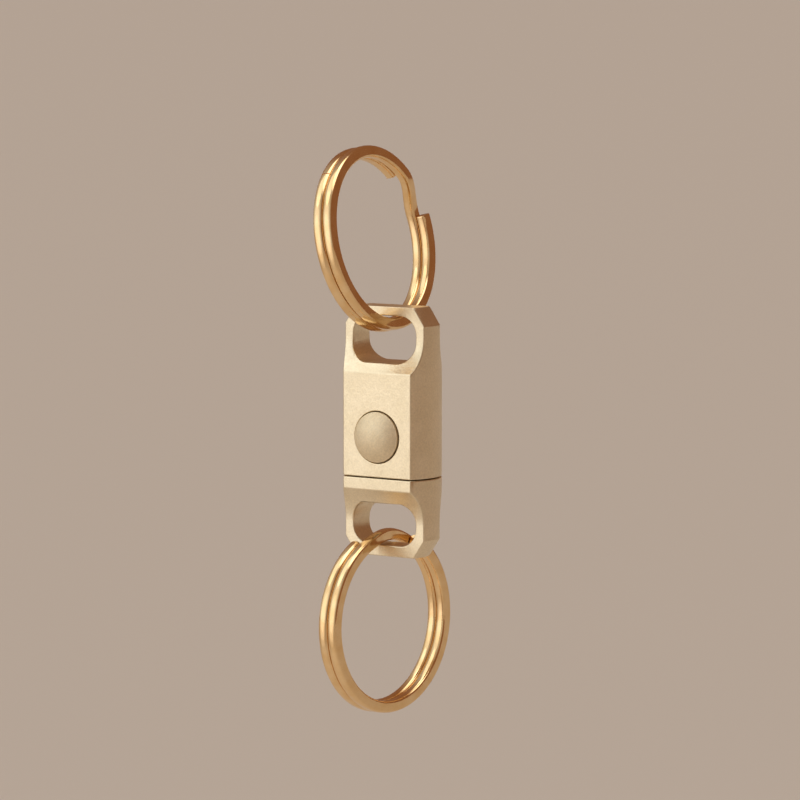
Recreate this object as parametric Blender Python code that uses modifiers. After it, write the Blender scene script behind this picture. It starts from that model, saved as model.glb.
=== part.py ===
"""Quick release key clip, modelled as its separate pieces.

Two halves are turned from one brass bar and milled flat. A steel plug is staked in the lower half
and stands up into the upper one, where the lip of a sprung push button holds it by a round groove:
the lower half can turn, and pressing the button lets it go. Each half has an eye at its far end,
and a split ring hangs through each eye.

Metres, +Z up, the button faces -Y. The world origin is the point inside the top of the upper split
ring where a finger or a hook holds the clip. The bar's axis is vertical, and clip_frame marks where
it crosses the face on which the two halves part. Sizes below that belong to one of the halves are
measured along the bar from that face.
"""

import math

import bmesh
import bpy
from mathutils import Euler, Matrix, Vector

MM = 0.001

# The bar that both halves are cut from
BAR_RADIUS = 5.35 * MM
FLAT_TO_FLAT = 6.2 * MM
TAB_THICKNESS = 3.2 * MM
SCOOP_LENGTH = 3.8 * MM
END_CHAMFER_ACROSS = 1.27 * MM
END_CHAMFER_ALONG = 1.95 * MM
EDGE_BREAK = 0.1 * MM
EDGE_BREAK_ABOVE = math.radians(35)
BAR_SIDES = 96
SCOOP_STEPS = 10

# The eyes that the split rings hang through
EYE_WIDTH = 8.1 * MM
EYE_CORNER_RADIUS = 2.1 * MM
EYE_CORNER_STEPS = 8

# Upper half
UPPER_BLOCK_LENGTH = 11.35 * MM
UPPER_TAB_LENGTH = 7.1 * MM
UPPER_EYE_HEIGHT = 5.1 * MM
UPPER_BRIDGE = 0.98 * MM

# Lower half
PARTING_GAP = 0.12 * MM
LOWER_BAND = 1.28 * MM
LOWER_LENGTH = 8.75 * MM
LOWER_EYE_HEIGHT = 4.7 * MM
LOWER_BRIDGE = 1.2 * MM

# Push button: a turned plunger with a low dome, and a cross slot that the plug passes through
BUTTON_HEIGHT = 4.38 * MM
BUTTON_RADIUS = 2.75 * MM
BUTTON_CLEARANCE = 0.1 * MM
BUTTON_PROUD = 0.15 * MM
BUTTON_DOME = 0.85 * MM
BUTTON_LENGTH = 5.0 * MM
BUTTON_TRAVEL = 0.45 * MM
BUTTON_BORE_FLOOR = 0.6 * MM
BUTTON_SIDES = 64
DOME_STEPS = 10
LATCH_LIP = 0.9 * MM
SLOT_STEP = 0.05 * MM

# Plug: a steel stud with a collar, whose lower end is peened over inside the lower half
PLUG_RADIUS = 1.25 * MM
PLUG_GROOVE_RADIUS = 0.78 * MM
PLUG_LAND = 0.4 * MM
PLUG_NOSE = 0.95 * MM
PLUG_NOSE_FLAT_RADIUS = 0.4 * MM
PLUG_NOSE_STEPS = 6
PLUG_COLLAR_RADIUS = 2.0 * MM
PLUG_COLLAR = 0.6 * MM
PLUG_SHANK_RADIUS = 1.0 * MM
PLUG_RIVET_RADIUS = 1.45 * MM
PLUG_RIVET_FLARE = 0.45 * MM
PLUG_SIDES = 40
PLUG_SEAT_GAP = 0.05 * MM
RUNNING_CLEARANCE = 0.08 * MM
GROOVE_CLEARANCE = 0.1 * MM
BORE_ABOVE_TIP = 0.3 * MM

# Retaining pin: a dowel beside the plug that stops the button and keeps it from turning
PIN_RADIUS = 0.5 * MM
PIN_OFFSET = 2.55 * MM
PIN_SINK = 0.4 * MM
PIN_BEYOND_BUTTON = 0.6 * MM
PIN_CLEARANCE = 0.05 * MM
PIN_SIDES = 24

# Button spring: a conical coil, which nests flat when the button is pressed
SPRING_WIRE_RADIUS = 0.12 * MM
SPRING_WIDE_RADIUS = 2.1 * MM
SPRING_NARROW_RADIUS = 1.15 * MM
SPRING_COILS = 2.25
SPRING_POINTS_A_COIL = 20
SPRING_ROUNDNESS = 1
SPRING_SEAT_GAP = 0.05 * MM

# Split rings: flat wire with rounded edges, wound twice round
RING_OUTER_RADIUS = 10.1 * MM
RING_WIRE_DEPTH = 1.35 * MM
RING_WIRE_WIDTH = 1.19 * MM
RING_WIRE_ROUNDING = 0.36 * MM
RING_ROUNDING_STEPS = 2
RING_TURN_GAP = 0.06 * MM
RING_END_GAP = 0.16 * MM
RING_STEPS_A_TURN = 60
RING_CROSSING_STEPS = 12
RING_SEAT_GAP = 0.08 * MM

# How each ring hangs. A roll of zero puts the end of the near turn at the front, and 90 at the top
UPPER_RING_SIDEWAYS = -2.23 * MM
UPPER_RING_YAW = math.radians(1.0)
UPPER_RING_LEAN = math.radians(11.2)
UPPER_RING_ROLL = math.radians(133.5)
UPPER_RING_CROSSING = math.radians(33.0)
LOWER_RING_SIDEWAYS = -0.93 * MM
LOWER_RING_YAW = math.radians(-5.25)
LOWER_RING_LEAN = math.radians(0.6)
LOWER_RING_ROLL = math.radians(66.0)
LOWER_RING_CROSSING = math.radians(50.0)

# Modelling allowances, which no finished piece shows
OVERRUN = 1.0 * MM
MERGE = 0.001 * MM
SMOOTH_BELOW = math.radians(30)

# Sizes worked out from those above
HALF_FLAT = FLAT_TO_FLAT / 2
HALF_TAB = TAB_THICKNESS / 2
SCOOP_DEPTH = HALF_FLAT - HALF_TAB
SCOOP_RADIUS = (SCOOP_LENGTH**2 + SCOOP_DEPTH**2) / (2 * SCOOP_DEPTH)
UPPER_TOP = UPPER_BLOCK_LENGTH + UPPER_TAB_LENGTH
UPPER_EYE_TOP = UPPER_TOP - UPPER_BRIDGE
LOWER_EYE_BOTTOM = -LOWER_LENGTH + LOWER_BRIDGE
LOWER_EYE_TOP = LOWER_EYE_BOTTOM + LOWER_EYE_HEIGHT
LATCH_TOP = BUTTON_HEIGHT + LATCH_LIP / 2
LATCH_BOTTOM = BUTTON_HEIGHT - LATCH_LIP / 2
LATCH_HOLE_RADIUS = PLUG_RADIUS + RUNNING_CLEARANCE
BUTTON_BORE_RADIUS = BUTTON_RADIUS + BUTTON_CLEARANCE
BUTTON_BACK = -HALF_FLAT - BUTTON_PROUD + BUTTON_LENGTH
BUTTON_BORE_BACK = HALF_FLAT - BUTTON_BORE_FLOOR
PLUG_HEAD_BOTTOM = LATCH_TOP + GROOVE_CLEARANCE
PLUG_TIP = PLUG_HEAD_BOTTOM + PLUG_LAND + PLUG_NOSE
COLLAR_TOP = -PARTING_GAP
COLLAR_BOTTOM = COLLAR_TOP - PLUG_COLLAR
RING_INNER_RADIUS = RING_OUTER_RADIUS - RING_WIRE_DEPTH
RING_TURN_OFFSET = (RING_WIRE_WIDTH + RING_TURN_GAP) / 2
RING_HALF_WIDTH = RING_WIRE_WIDTH + RING_TURN_GAP / 2
RING_MEAN_RADIUS = RING_OUTER_RADIUS - RING_WIRE_DEPTH / 2
RING_ON_EDGE = math.sqrt(RING_INNER_RADIUS**2 - HALF_TAB**2)


def ring_drop(lean):
    """How far below a leaning ring's centre its inner face meets an edge of the tab."""
    return RING_ON_EDGE * math.cos(lean) - RING_HALF_WIDTH * math.sin(abs(lean))


UPPER_RING_CENTRE = Vector(
    (UPPER_RING_SIDEWAYS, 0, UPPER_EYE_TOP - RING_SEAT_GAP + ring_drop(UPPER_RING_LEAN))
)
LOWER_RING_CENTRE = Vector(
    (LOWER_RING_SIDEWAYS, 0, LOWER_EYE_BOTTOM + RING_SEAT_GAP - ring_drop(LOWER_RING_LEAN))
)


# Scene helpers


def clear_scene():
    for obj in list(bpy.data.objects):
        bpy.data.objects.remove(obj, do_unlink=True)


def collection(name):
    made = bpy.data.collections.new(name)
    bpy.context.scene.collection.children.link(made)
    return made


def empty(name, where, location, parent=None, rotation=(0, 0, 0)):
    made = bpy.data.objects.new(name, None)
    made.empty_display_size = BAR_RADIUS
    made.location = location
    made.rotation_euler = rotation
    made.parent = parent
    where.objects.link(made)
    return made


def finish(name, colour, roughness, metallic=1.0):
    made = bpy.data.materials.new(name)
    made.use_nodes = True
    shader = made.node_tree.nodes["Principled BSDF"]
    shader.inputs["Base Color"].default_value = (*colour, 1.0)
    shader.inputs["Roughness"].default_value = roughness
    shader.inputs["Metallic"].default_value = metallic
    return made


def place(mesh, name, where, parent, material=None):
    made = bpy.data.objects.new(name, mesh)
    made.parent = parent
    where.objects.link(made)
    if material is None:
        made.hide_render = True
        made.display_type = "WIRE"
    else:
        mesh.materials.append(material)
        mesh.shade_smooth()
        mesh.set_sharp_from_angle(angle=SMOOTH_BELOW)
    return made


def to_mesh(source, name):
    """The evaluated mesh of a curve or a modified object, with loose caps welded on."""
    bpy.context.view_layer.update()
    graph = bpy.context.evaluated_depsgraph_get()
    mesh = bpy.data.meshes.new_from_object(source.evaluated_get(graph))
    mesh.name = name
    shape = bmesh.new()
    shape.from_mesh(mesh)
    bmesh.ops.remove_doubles(shape, verts=shape.verts, dist=MERGE)
    bmesh.ops.recalc_face_normals(shape, faces=shape.faces)
    shape.to_mesh(mesh)
    shape.free()
    return mesh


def cylinder_mesh(name, radius, start, end, sides, along="Z"):
    """A round bar from start to end along one axis, centred on the other two."""
    shape = bmesh.new()
    turn = Matrix.Rotation(math.radians(-90), 4, "X") if along == "Y" else Matrix.Identity(4)
    shift = Matrix.Translation((0, 0, (start + end) / 2))
    bmesh.ops.create_cone(
        shape,
        cap_ends=True,
        segments=sides,
        radius1=radius,
        radius2=radius,
        depth=end - start,
        matrix=turn @ shift,
    )
    mesh = bpy.data.meshes.new(name)
    shape.to_mesh(mesh)
    shape.free()
    return mesh


def box_mesh(name, low, high):
    """A box between two opposite corners."""
    shape = bmesh.new()
    bmesh.ops.create_cube(shape, size=1)
    mesh = bpy.data.meshes.new(name)
    shape.to_mesh(mesh)
    shape.free()
    mesh.transform(Matrix.Translation((low + high) / 2) @ Matrix.Diagonal((*(high - low), 1)))
    return mesh


def outline_mesh(name, points, thickness, stand):
    """A closed flat outline drawn in X and Y, given thickness, then stood up by a rotation."""
    curve = bpy.data.curves.new(name, "CURVE")
    curve.dimensions = "2D"
    curve.fill_mode = "BOTH"
    curve.extrude = thickness / 2
    spline = curve.splines.new("POLY")
    spline.points.add(len(points) - 1)
    for point, (x, y) in zip(spline.points, points):
        point.co = (x, y, 0, 1)
    spline.use_cyclic_u = True
    drawn = bpy.data.objects.new(name, curve)
    bpy.context.scene.collection.objects.link(drawn)
    mesh = to_mesh(drawn, name)
    bpy.data.objects.remove(drawn, do_unlink=True)
    mesh.transform(stand)
    return mesh


def turned_mesh(name, profile, sides):
    """A solid of revolution. The profile runs down its outer side, from its top to its bottom."""
    shape = bmesh.new()
    ring = [shape.verts.new((radius, 0, height)) for radius, height in profile]
    for first, second in zip(ring, ring[1:]):
        shape.edges.new((first, second))
    mesh = bpy.data.meshes.new(name)
    shape.to_mesh(mesh)
    shape.free()
    drawn = bpy.data.objects.new(name, mesh)
    bpy.context.scene.collection.objects.link(drawn)
    screw = drawn.modifiers.new("Turn", "SCREW")
    screw.steps = sides
    screw.render_steps = sides
    screw.use_merge_vertices = True
    screw.merge_threshold = MERGE
    turned = to_mesh(drawn, name)
    bpy.data.objects.remove(drawn, do_unlink=True)
    return turned


def boolean(target, cutter, operation="DIFFERENCE"):
    step = target.modifiers.new(cutter.name, "BOOLEAN")
    step.operation = operation
    step.solver = "EXACT"
    step.object = cutter


STAND_FACING_FRONT = Matrix.Rotation(math.radians(90), 4, "X")
STAND_FACING_SIDE = Matrix.Rotation(math.radians(90), 4, "Z") @ STAND_FACING_FRONT


# The halves of the bar


def bar_blank(name, far_end, near_end):
    """The turned bar, chamfered at its far end. Heights may run up or down from the near end."""
    way = 1 if far_end > near_end else -1
    profile = [
        (0, far_end),
        (BAR_RADIUS - END_CHAMFER_ACROSS, far_end),
        (BAR_RADIUS, far_end - way * END_CHAMFER_ALONG),
        (BAR_RADIUS, near_end),
        (0, near_end),
    ]
    return turned_mesh(name, profile if way > 0 else profile[::-1], BAR_SIDES)


def scoop_arc(side, line, way):
    """Points of the hollow from a flat in to the tab, starting at the sharp line on the flat."""
    tangent = line + way * SCOOP_LENGTH
    sweep = math.asin(SCOOP_LENGTH / SCOOP_RADIUS)
    points = []
    for step in range(SCOOP_STEPS + 1):
        angle = sweep * (1 - step / SCOOP_STEPS)
        across = HALF_TAB + SCOOP_RADIUS * (1 - math.cos(angle))
        points.append((side * across, tangent - way * SCOOP_RADIUS * math.sin(angle)))
    return points


def half_profile(near_end, line, far_end, way):
    """Side view of one half, in Y and Z: two flats, the two scoops and the thin tab."""
    right = [(HALF_FLAT, near_end)] + scoop_arc(1, line, way) + [(HALF_TAB, far_end)]
    left = [(-across, height) for across, height in reversed(right)]
    return right + left


def eye_outline(bottom, top):
    """The eye: a rectangle with well rounded corners, in X and Z."""
    points = []
    across = EYE_WIDTH / 2 - EYE_CORNER_RADIUS
    corners = ((1, top, 0), (-1, top, 1), (-1, bottom, 2), (1, bottom, 3))
    for side, height, quarter in corners:
        inward = -1 if height == top else 1
        middle = height + inward * EYE_CORNER_RADIUS
        for step in range(EYE_CORNER_STEPS + 1):
            angle = (quarter + step / EYE_CORNER_STEPS) * math.pi / 2
            points.append(
                (
                    side * across + EYE_CORNER_RADIUS * math.cos(angle),
                    middle + EYE_CORNER_RADIUS * math.sin(angle),
                )
            )
    return points


def make_half(name, near_end, line, far_end, eye, parts, cutters, frame, material):
    """One half of the bar with its flats, scoops and eye, before its bores."""
    way = 1 if far_end > near_end else -1
    body = place(bar_blank(name, far_end, near_end), name, parts, frame, material)
    reach = 2 * (BAR_RADIUS + OVERRUN)
    profile = half_profile(near_end - way * OVERRUN, line, far_end + way * OVERRUN, way)
    flats = place(
        outline_mesh(name + "_flats", profile, reach, STAND_FACING_SIDE),
        name + "_flats",
        cutters,
        frame,
    )
    boolean(body, flats, "INTERSECT")
    window = place(
        outline_mesh(name + "_eye", eye_outline(*eye), reach, STAND_FACING_FRONT),
        name + "_eye",
        cutters,
        frame,
    )
    boolean(body, window)
    edges = body.modifiers.new("Edge break", "BEVEL")
    edges.width = EDGE_BREAK
    edges.segments = 1
    edges.limit_method = "ANGLE"
    edges.angle_limit = EDGE_BREAK_ABOVE
    edges.use_clamp_overlap = False
    return body


def make_upper_body(parts, cutters, frame, material):
    body = make_half(
        "upper_body",
        0,
        UPPER_BLOCK_LENGTH,
        UPPER_TOP,
        (UPPER_EYE_TOP - UPPER_EYE_HEIGHT, UPPER_EYE_TOP),
        parts,
        cutters,
        frame,
        material,
    )
    plug_bore = place(
        cylinder_mesh(
            "plug_bore", LATCH_HOLE_RADIUS, -OVERRUN, PLUG_TIP + BORE_ABOVE_TIP, PLUG_SIDES
        ),
        "plug_bore",
        cutters,
        frame,
    )
    boolean(body, plug_bore)
    button_bore = place(
        cylinder_mesh(
            "button_bore",
            BUTTON_BORE_RADIUS,
            -HALF_FLAT - OVERRUN,
            BUTTON_BORE_BACK,
            BUTTON_SIDES,
            along="Y",
        ),
        "button_bore",
        cutters,
        frame,
    )
    button_bore.location.z = BUTTON_HEIGHT
    boolean(body, button_bore)
    pin_bore = place(
        cylinder_mesh(
            "pin_bore",
            PIN_RADIUS + PIN_CLEARANCE,
            -OVERRUN,
            pin_top() + PIN_CLEARANCE,
            PIN_SIDES,
        ),
        "pin_bore",
        cutters,
        frame,
    )
    pin_bore.location.x = PIN_OFFSET
    boolean(body, pin_bore)
    return body


def make_lower_body(parts, cutters, frame, material):
    body = make_half(
        "lower_body",
        -PARTING_GAP,
        -PARTING_GAP - LOWER_BAND,
        -LOWER_LENGTH,
        (LOWER_EYE_BOTTOM, LOWER_EYE_TOP),
        parts,
        cutters,
        frame,
        material,
    )
    seat = place(
        turned_mesh("plug_seat", plug_seat_profile(), PLUG_SIDES), "plug_seat", cutters, frame
    )
    boolean(body, seat)
    return body


# The latch


def pin_top():
    return BUTTON_HEIGHT + BUTTON_RADIUS + PIN_BEYOND_BUTTON


def plug_profile():
    """The plug from its rounded nose down to the end that is peened over in the lower eye."""
    nose_base = PLUG_HEAD_BOTTOM + PLUG_LAND
    profile = [(0, PLUG_TIP)]
    for step in range(PLUG_NOSE_STEPS + 1):
        angle = math.pi / 2 * (1 - step / PLUG_NOSE_STEPS)
        radius = PLUG_NOSE_FLAT_RADIUS + (PLUG_RADIUS - PLUG_NOSE_FLAT_RADIUS) * math.cos(angle)
        profile.append((radius, nose_base + PLUG_NOSE * math.sin(angle)))
    profile += [
        (PLUG_RADIUS, PLUG_HEAD_BOTTOM),
        (PLUG_GROOVE_RADIUS, PLUG_HEAD_BOTTOM),
        (PLUG_GROOVE_RADIUS, LATCH_BOTTOM - GROOVE_CLEARANCE),
        (PLUG_RADIUS, LATCH_BOTTOM - GROOVE_CLEARANCE),
        (PLUG_RADIUS, COLLAR_TOP),
        (PLUG_COLLAR_RADIUS, COLLAR_TOP),
        (PLUG_COLLAR_RADIUS, COLLAR_BOTTOM),
        (PLUG_SHANK_RADIUS, COLLAR_BOTTOM),
        (PLUG_SHANK_RADIUS, LOWER_EYE_TOP + PLUG_RIVET_FLARE + PLUG_SEAT_GAP),
        (PLUG_RIVET_RADIUS, LOWER_EYE_TOP + PLUG_SEAT_GAP),
        (0, LOWER_EYE_TOP + PLUG_SEAT_GAP),
    ]
    return profile


def plug_seat_profile():
    """The stepped hole in the lower half: the collar's recess, the shank's hole, the countersink."""
    gap = PLUG_SEAT_GAP
    flare_base = LOWER_EYE_TOP + PLUG_RIVET_FLARE + gap
    slope = (PLUG_RIVET_RADIUS - PLUG_SHANK_RADIUS) / PLUG_RIVET_FLARE
    past = LOWER_EYE_TOP - OVERRUN
    return [
        (0, OVERRUN),
        (PLUG_COLLAR_RADIUS + gap, OVERRUN),
        (PLUG_COLLAR_RADIUS + gap, COLLAR_BOTTOM - gap),
        (PLUG_SHANK_RADIUS + gap, COLLAR_BOTTOM - gap),
        (PLUG_SHANK_RADIUS + gap, flare_base + gap),
        (PLUG_SHANK_RADIUS + gap + (flare_base + gap - past) * slope, past),
        (0, past),
    ]


def make_plug(parts, frame, material):
    return place(turned_mesh("plug", plug_profile(), PLUG_SIDES), "plug", parts, frame, material)


def button_profile():
    """The button about its own axis, dome upwards: crown, rim, barrel and back."""
    crown = BUTTON_PROUD + BUTTON_DOME
    sphere = (BUTTON_RADIUS**2 + BUTTON_DOME**2) / (2 * BUTTON_DOME)
    sweep = math.asin(BUTTON_RADIUS / sphere)
    profile = []
    for step in range(DOME_STEPS + 1):
        angle = sweep * step / DOME_STEPS
        profile.append((sphere * math.sin(angle), crown - sphere * (1 - math.cos(angle))))
    profile += [(BUTTON_RADIUS, BUTTON_PROUD - BUTTON_LENGTH), (0, BUTTON_PROUD - BUTTON_LENGTH)]
    return profile


def slot_outline(radius, reach):
    """A hole of this radius, stretched towards +Y by reach, in X and Y about the hole's centre."""
    steps = PLUG_SIDES // 2
    half = [math.pi * step / steps for step in range(steps + 1)]
    far = [(radius * math.cos(angle), reach + radius * math.sin(angle)) for angle in half]
    near = [(-radius * math.cos(angle), -radius * math.sin(angle)) for angle in half]
    return far + near


def make_button(parts, cutters, frame, material):
    """The button at rest, out by its travel. Its cross slot leaves a thin lip that holds the plug."""
    spot = empty("button_axis", parts, (0, -HALF_FLAT, BUTTON_HEIGHT), frame)
    mesh = turned_mesh("release_button", button_profile(), BUTTON_SIDES)
    mesh.transform(Matrix.Rotation(math.radians(90), 4, "X"))
    button = place(mesh, "release_button", parts, spot, material)
    lip_hole = place(
        cylinder_mesh(
            "lip_hole",
            LATCH_HOLE_RADIUS,
            BUTTON_HEIGHT - BUTTON_RADIUS - OVERRUN,
            BUTTON_HEIGHT + BUTTON_RADIUS + OVERRUN,
            PLUG_SIDES,
        ),
        "lip_hole",
        cutters,
        frame,
    )
    lip_hole.location.y = -BUTTON_TRAVEL
    boolean(button, lip_hole)
    relief = BUTTON_RADIUS - LATCH_LIP / 2 + OVERRUN
    for name, way in (("slot_above_lip", 1), ("slot_below_lip", -1)):
        mesh = outline_mesh(
            name,
            slot_outline(LATCH_HOLE_RADIUS + SLOT_STEP, BUTTON_TRAVEL),
            relief,
            Matrix.Translation((0, -BUTTON_TRAVEL, BUTTON_HEIGHT + way * (LATCH_LIP + relief) / 2)),
        )
        boolean(button, place(mesh, name, cutters, frame))
    room = PIN_RADIUS + 2 * PIN_CLEARANCE
    past = BUTTON_RADIUS + OVERRUN
    notch = box_mesh(
        "pin_notch",
        Vector((PIN_OFFSET - room, -BUTTON_TRAVEL - room, BUTTON_HEIGHT - past)),
        Vector((past, room, BUTTON_HEIGHT + past)),
    )
    boolean(button, place(notch, "pin_notch", cutters, frame))
    return button


def make_pin(parts, frame, material):
    mesh = cylinder_mesh("retaining_pin", PIN_RADIUS, PIN_SINK, pin_top(), PIN_SIDES)
    pin = place(mesh, "retaining_pin", parts, frame, material)
    pin.location.x = PIN_OFFSET
    return pin


def spring_points():
    """Centre line of the coil, from its wide end on the bore's floor to the button's back."""
    inset = SPRING_SEAT_GAP + SPRING_WIRE_RADIUS
    back, front = BUTTON_BORE_BACK - inset, BUTTON_BACK + inset
    count = round(SPRING_COILS * SPRING_POINTS_A_COIL)
    points = []
    for step in range(count + 1):
        share = step / count
        angle = 2 * math.pi * SPRING_COILS * share
        radius = SPRING_WIDE_RADIUS + (SPRING_NARROW_RADIUS - SPRING_WIDE_RADIUS) * share
        points.append(
            Vector(
                (
                    radius * math.cos(angle),
                    back + (front - back) * share,
                    radius * math.sin(angle),
                )
            )
        )
    return points


def least_gap(points, diameter, skip):
    """The least space between stretches of one wire that are over skip points apart."""
    return min(
        (first - second).length - diameter
        for number, first in enumerate(points)
        for second in points[number + skip :]
    )


def wire_curve(name, points):
    curve = bpy.data.curves.new(name, "CURVE")
    curve.dimensions = "3D"
    spline = curve.splines.new("POLY")
    spline.points.add(len(points) - 1)
    for point, position in zip(spline.points, points):
        point.co = (*position, 1)
    curve.use_fill_caps = True
    return curve


def make_spring(parts, frame, material):
    points = spring_points()
    curve = wire_curve("button_spring", points)
    curve.bevel_depth = SPRING_WIRE_RADIUS
    curve.bevel_resolution = SPRING_ROUNDNESS
    drawn = bpy.data.objects.new("button_spring", curve)
    bpy.context.scene.collection.objects.link(drawn)
    mesh = to_mesh(drawn, "button_spring")
    bpy.data.objects.remove(drawn, do_unlink=True)
    spring = place(mesh, "button_spring", parts, frame, material)
    spring.location.z = BUTTON_HEIGHT
    gap = least_gap(points, 2 * SPRING_WIRE_RADIUS, SPRING_POINTS_A_COIL // 2)
    print(f"Least gap between the spring's coils: {gap / MM:.2f} mm")
    return spring


# Split rings


def spread(start, stop, steps):
    """Even steps from start up to, and not counting, stop."""
    return [start + (stop - start) * step / steps for step in range(steps)]


def ring_path(crossing):
    """Centre line of the two turns, in the ring's plane XY and along its axis Z.

    It starts at the end of the near turn, at +X, and runs towards +Y. After almost one turn it
    crosses over to the far turn, and passes beside its own start.
    """
    end = RING_END_GAP / RING_MEAN_RADIUS
    first, last = 2 * math.pi - crossing, 2 * math.pi
    turn = spread(0, first, RING_STEPS_A_TURN)[1:]
    angles = [end] + turn + spread(first, last, RING_CROSSING_STEPS)
    angles += [last] + [last + angle for angle in turn] + [last + first - end]
    points = []
    for angle in angles:
        share = min(max((angle - first) / crossing, 0), 1)
        x, y = RING_MEAN_RADIUS * math.cos(angle), RING_MEAN_RADIUS * math.sin(angle)
        points.append(Vector((x, y, -RING_TURN_OFFSET * math.cos(math.pi * share))))
    return points


def turn_gap(points):
    """The least space between stretches of a ring's wire that are over half a turn apart."""
    gaps = []
    for number, first in enumerate(points):
        for second in points[number + RING_STEPS_A_TURN // 2 :]:
            step = second - first
            beside = max(abs(step.z) - RING_WIRE_WIDTH, 0)
            gaps.append(math.hypot(beside, step.xy.length))
    return min(gaps)


def wire_section():
    """Section of the ring's wire: a rectangle with rounded corners, radially by along the axis."""
    across = RING_WIRE_DEPTH / 2 - RING_WIRE_ROUNDING
    along = RING_WIRE_WIDTH / 2 - RING_WIRE_ROUNDING
    points = []
    for quarter, (side, end) in enumerate(((1, 1), (-1, 1), (-1, -1), (1, -1))):
        for step in range(RING_ROUNDING_STEPS + 1):
            angle = (quarter + step / RING_ROUNDING_STEPS) * math.pi / 2
            points.append(
                (
                    side * across + RING_WIRE_ROUNDING * math.cos(angle),
                    end * along + RING_WIRE_ROUNDING * math.sin(angle),
                )
            )
    return points


def ring_mesh(name, crossing):
    section = bpy.data.curves.new(name + "_section", "CURVE")
    section.dimensions = "2D"
    outline = section.splines.new("POLY")
    outline.points.add(len(wire_section()) - 1)
    for point, (x, y) in zip(outline.points, wire_section()):
        point.co = (x, y, 0, 1)
    outline.use_cyclic_u = True
    drawn_section = bpy.data.objects.new(name + "_section", section)
    bpy.context.scene.collection.objects.link(drawn_section)
    points = ring_path(crossing)
    print(f"Least gap between the turns of {name}: {turn_gap(points) / MM:.2f} mm")
    curve = wire_curve(name, points)
    curve.twist_mode = "Z_UP"
    curve.bevel_mode = "OBJECT"
    curve.bevel_object = drawn_section
    drawn = bpy.data.objects.new(name, curve)
    bpy.context.scene.collection.objects.link(drawn)
    mesh = to_mesh(drawn, name)
    bpy.data.objects.remove(drawn, do_unlink=True)
    bpy.data.objects.remove(drawn_section, do_unlink=True)
    return mesh


def ring_hang(yaw, lean):
    """Turns a ring that stands with its axis along X to the way it hangs."""
    return Euler((0, -lean, yaw), "XYZ").to_matrix()


def ring_turn(yaw, lean, roll):
    """Stands up a ring drawn in XY and hangs it. Its axis Z goes to about +X.

    The drawn +X direction points to the front at a roll of zero, and rises as the roll grows.
    """
    drawn_axes = (Vector((0, -1, 0)), Vector((0, 0, -1)), Vector((1, 0, 0)))
    stand = Matrix(drawn_axes).transposed()
    return (ring_hang(yaw, lean) @ Matrix.Rotation(-roll, 3, "X") @ stand).to_4x4()


def make_ring(name, crossing, centre, yaw, lean, roll, parts, frame, material):
    spot = empty(name + "_centre", parts, centre, frame)
    mesh = ring_mesh(name, crossing)
    mesh.transform(ring_turn(yaw, lean, roll))
    return place(mesh, name, parts, spot, material)


def main():
    clear_scene()
    parts = collection("quick_release_key_clip")
    cutters = collection("cutters")
    brass = finish("satin_brass", (0.78, 0.62, 0.38), 0.38)
    gold = finish("polished_gold", (0.86, 0.56, 0.22), 0.14)
    steel = finish("steel", (0.56, 0.57, 0.58), 0.25)

    up = ring_hang(UPPER_RING_YAW, UPPER_RING_LEAN) @ Vector((0, 0, 1))
    hanging_point = UPPER_RING_CENTRE + RING_INNER_RADIUS * up
    frame = empty("clip_frame", parts, -hanging_point)

    make_upper_body(parts, cutters, frame, brass)
    make_button(parts, cutters, frame, brass)
    make_spring(parts, frame, steel)
    make_pin(parts, frame, steel)
    make_plug(parts, frame, steel)
    make_lower_body(parts, cutters, frame, brass)
    make_ring(
        "upper_split_ring",
        UPPER_RING_CROSSING,
        UPPER_RING_CENTRE,
        UPPER_RING_YAW,
        UPPER_RING_LEAN,
        UPPER_RING_ROLL,
        parts,
        frame,
        gold,
    )
    make_ring(
        "lower_split_ring",
        LOWER_RING_CROSSING,
        LOWER_RING_CENTRE,
        LOWER_RING_YAW,
        LOWER_RING_LEAN,
        LOWER_RING_ROLL,
        parts,
        frame,
        gold,
    )


main()
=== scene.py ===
"""Looks of a quick release key clip.

Two halves of a milled brass bar, a domed push button in the upper one, a split ring through each
eye, and the small latch inside. Every piece is modelled in the clip's own coordinates, with the
bar's axis up Z and the parting face at zero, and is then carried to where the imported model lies.
"""

import logging
import math
from dataclasses import dataclass
from enum import Enum
from typing import Callable

import bpy
from mathutils import Euler, Matrix, Vector

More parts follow.
